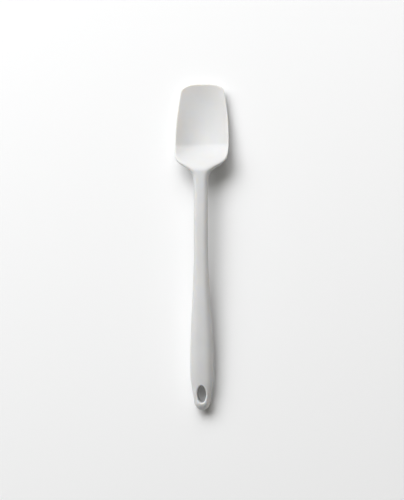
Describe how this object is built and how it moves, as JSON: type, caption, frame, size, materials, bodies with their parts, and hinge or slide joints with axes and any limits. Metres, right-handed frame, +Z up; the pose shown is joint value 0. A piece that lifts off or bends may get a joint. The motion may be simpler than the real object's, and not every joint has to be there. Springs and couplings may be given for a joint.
{
  "type": "silicone spatula",
  "caption": "Small one-piece silicone spoon spatula: a shallow bowl with a thin flexible lip, a slim neck, and a rounded handle with an oval hanging hole, over a stiff inner core.",
  "frame": {"origin": "middle of the tool's length and width, on the table that it lies on", "axes": "+Y along the tool towards the tip of the bowl, +Z up, out of the bowl, +X across the tool"},
  "size_m": [0.0346, 0.21, 0.0178],
  "materials": {
    "silicone": "satin-matt white silicone, soft to the touch, slightly translucent where it is thin",
    "core_nylon": "glass-filled nylon, matt as moulded"
  },
  "bodies": {
    "root": {"silicone_skin": "silicone", "stiffening_core": "core_nylon"}
  },
  "joints": []
}
